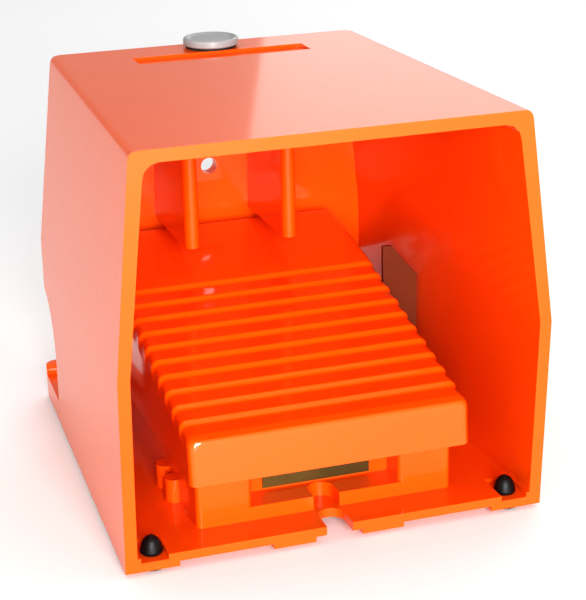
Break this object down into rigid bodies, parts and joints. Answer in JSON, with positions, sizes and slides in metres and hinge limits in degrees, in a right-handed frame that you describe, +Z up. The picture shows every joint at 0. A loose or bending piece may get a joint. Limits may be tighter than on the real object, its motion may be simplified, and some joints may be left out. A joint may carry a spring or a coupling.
{
  "type": "industrial foot switch",
  "caption": "Industrial foot switch: cast guard hood open in front over a die-cast switch body with a fluted, rear-hinged, sprung treadle that works two contact blocks.",
  "frame": {"origin": "middle of the hood's footprint, on the plane that the rubber feet stand on", "axes": "+X to the operator's right, +Y back under the hood, +Z up"},
  "size_m": [0.16, 0.182, 0.158],
  "materials": {
    "orange_paint": "glossy orange enamel on a casting",
    "rubber": "black rubber",
    "brown_plate": "brown lacquered sheet",
    "olive_plate": "olive anodised sheet",
    "grey_metal": "turned grey metal",
    "zinc_plate": "zinc plated steel",
    "steel": "bright steel",
    "brass": "brass",
    "black_moulding": "black phenolic moulding",
    "red_moulding": "red moulding"
  },
  "bodies": {
    "base": {"guard_hood": "orange_paint", "hood_plug": "grey_metal", "plug_washer": "rubber", "rubber_feet": "rubber", "side_bracket": "brown_plate", "bracket_screws": "zinc_plate", "switch_body": "orange_paint", "rating_plate": "olive_plate", "bottom_plate": "zinc_plate", "bottom_gasket": "rubber", "bottom_screws": "zinc_plate", "body_screws": "zinc_plate", "entry_plug": "black_moulding", "entry_seal": "rubber", "shaft_bushes": "brass", "treadle_buffers": "rubber", "return_springs": "steel", "plunger_bush": "brass", "plunger_seal": "rubber", "contact_plate": "zinc_plate", "contact_plate_screws": "zinc_plate", "contact_block_left": "black_moulding", "contact_block_right": "black_moulding", "block_screws": "zinc_plate", "contact_strips_left": "brass", "contact_strips_right": "brass", "terminal_screws_left": "zinc_plate", "terminal_screws_right": "zinc_plate", "contact_springs": "steel", "earth_screw": "zinc_plate", "earth_clamp": "brass"},
    "treadle": {"treadle": "orange_paint", "treadle_shaft": "steel", "shaft_rings": "steel"},
    "plunger": {"plunger": "steel"},
    "contacts_left": {"contact_carrier_left": "red_moulding", "contact_bridges_left": "brass"},
    "contacts_right": {"contact_carrier_right": "red_moulding", "contact_bridges_right": "brass"}
  },
  "joints": [
    {"name": "treadle_hinge", "type": "hinge", "parent": "base", "child": "treadle", "pos_m": [0, 0.056, 0.0605], "axis": [1, 0, 0], "range_deg": [0, 6], "stiffness_Nm_per_rad": 12, "springref_deg": -8.59, "deforming": ["return_springs", "contact_springs"]},
    {"name": "plunger_slide", "type": "slide", "parent": "base", "child": "plunger", "axis": [0, 0, -1], "range_m": [0, 0.006]},
    {"name": "contacts_left_slide", "type": "slide", "parent": "base", "child": "contacts_left", "axis": [0, 0, -1], "range_m": [0, 0.006]},
    {"name": "contacts_right_slide", "type": "slide", "parent": "base", "child": "contacts_right", "axis": [0, 0, -1], "range_m": [0, 0.006]}
  ],
  "couplings": [
    {"joint": "plunger_slide", "follows": "treadle_hinge", "m_per_rad": 0.056888},
    {"joint": "contacts_left_slide", "follows": "treadle_hinge", "m_per_rad": 0.056888},
    {"joint": "contacts_right_slide", "follows": "treadle_hinge", "m_per_rad": 0.056888}
  ]
}
